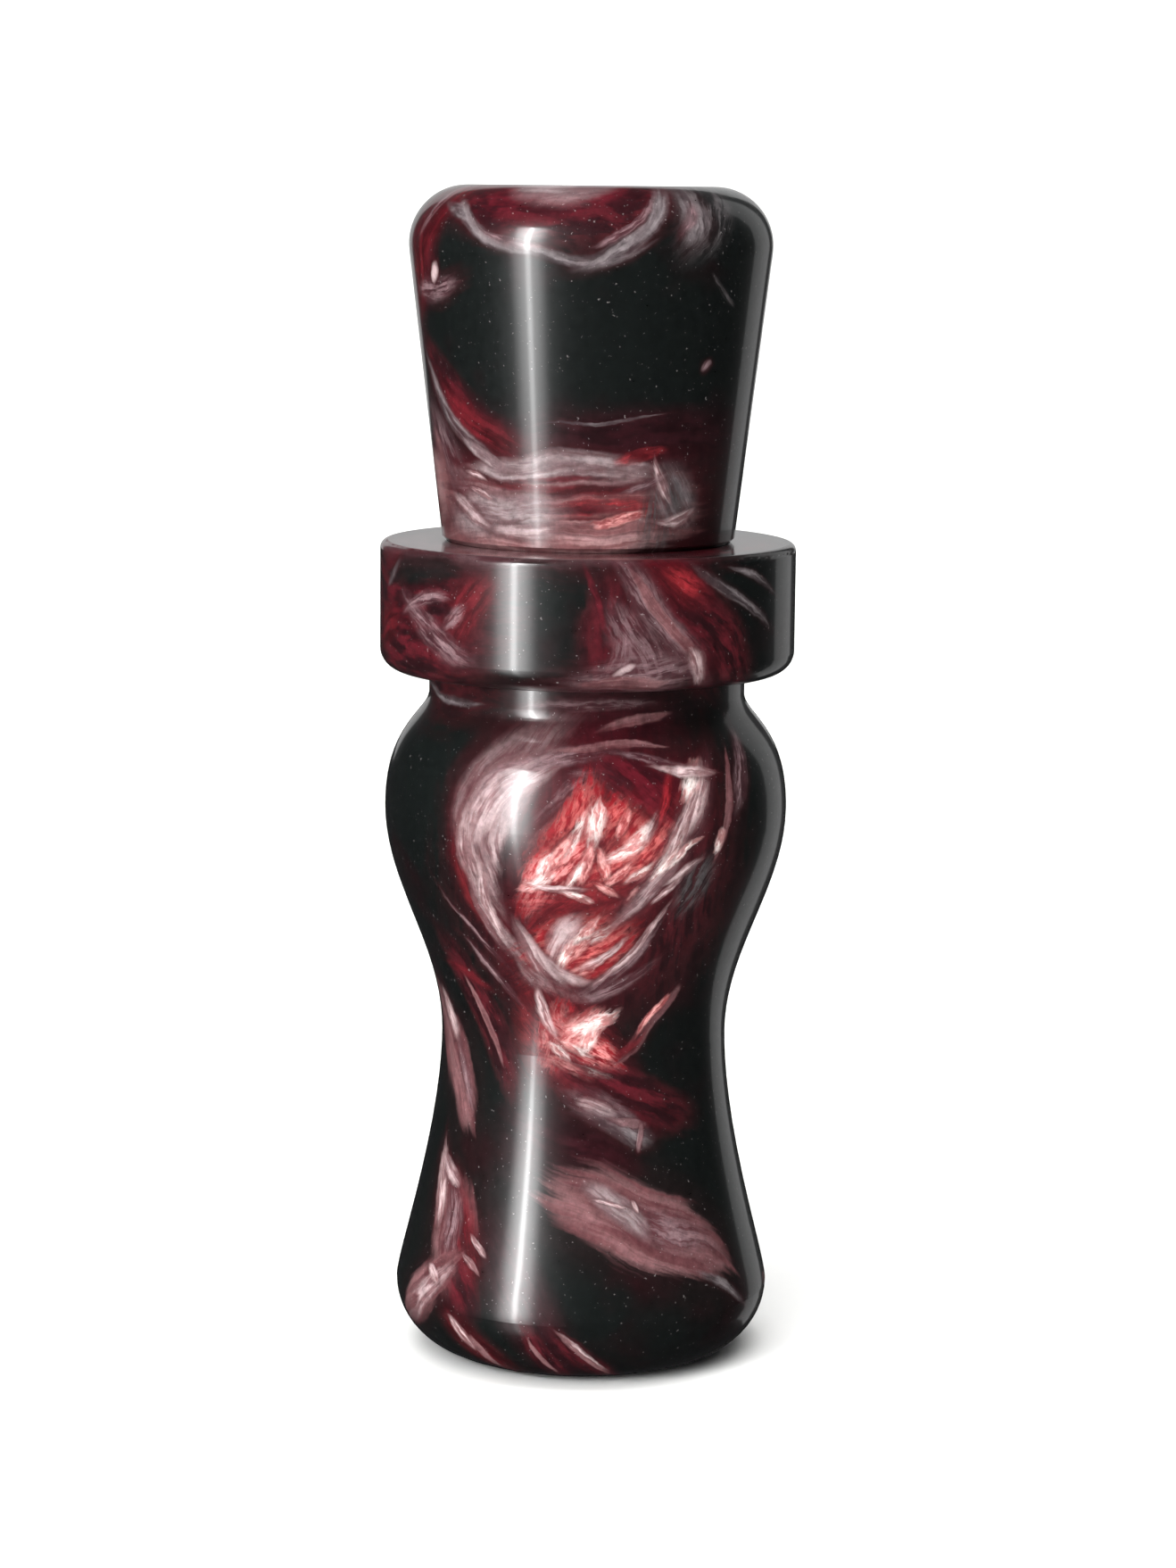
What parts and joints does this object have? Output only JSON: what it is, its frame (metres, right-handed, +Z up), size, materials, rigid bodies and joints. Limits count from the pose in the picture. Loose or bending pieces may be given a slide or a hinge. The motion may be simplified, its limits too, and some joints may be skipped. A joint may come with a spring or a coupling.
{
  "type": "duck call",
  "caption": "Turned resin duck call with a flared stopper seated on a collared, waisted barrel and a corked reed toneboard inside.",
  "frame": {"origin": "centre of the mouth end face, on which the call stands", "axes": "+Z up the turning axis from the mouth end to the exhaust end, -Y the way the reeds face, +X to the right seen from the reed side"},
  "size_m": [0.0375, 0.0374, 0.1061],
  "materials": {
    "swirl_resin": "cast resin, black with crimson, salmon and pearl swirls, buffed to a high gloss",
    "toneboard_plastic": "moulded black plastic, smooth",
    "reed_film": "satin polyester film",
    "cork": "raw cork, pitted",
    "o_ring_rubber": "soft black rubber"
  },
  "bodies": {
    "barrel": {"barrel": "swirl_resin"},
    "o_rings": {"front_o_ring": "o_ring_rubber", "rear_o_ring": "o_ring_rubber"},
    "insert": {"stopper": "swirl_resin", "toneboard": "toneboard_plastic"},
    "cork": {"reed_cork": "cork"},
    "long_reed": {"long_reed": "reed_film"},
    "short_reed": {"short_reed": "reed_film"}
  },
  "joints": [
    {"name": "insert_pull", "type": "slide", "parent": "barrel", "child": "o_rings", "axis": [0, 0, 1], "range_m": [0, 0.062]},
    {"name": "insert_turn", "type": "hinge", "parent": "o_rings", "child": "insert", "pos_m": [0, 0, 0.0745], "axis": [0, 0, 1], "continuous": true},
    {"name": "cork_pull", "type": "slide", "parent": "insert", "child": "cork", "axis": [0, 0, -1], "range_m": [0, 0.014]},
    {"name": "long_reed_flex", "type": "hinge", "parent": "cork", "child": "long_reed", "pos_m": [0, -0.00064, 0.0494], "axis": [1, 0, 0], "range_deg": [-1, 2.1], "stiffness_Nm_per_rad": 0.006, "deforming": ["long_reed"]},
    {"name": "short_reed_flex", "type": "hinge", "parent": "cork", "child": "short_reed", "pos_m": [0, -0.00102, 0.0494], "axis": [1, 0, 0], "range_deg": [-1, 2.1], "stiffness_Nm_per_rad": 0.006, "deforming": ["short_reed"]}
  ],
  "couplings": [
    {"joint": "short_reed_flex", "follows": "long_reed_flex", "ratio": 1}
  ]
}
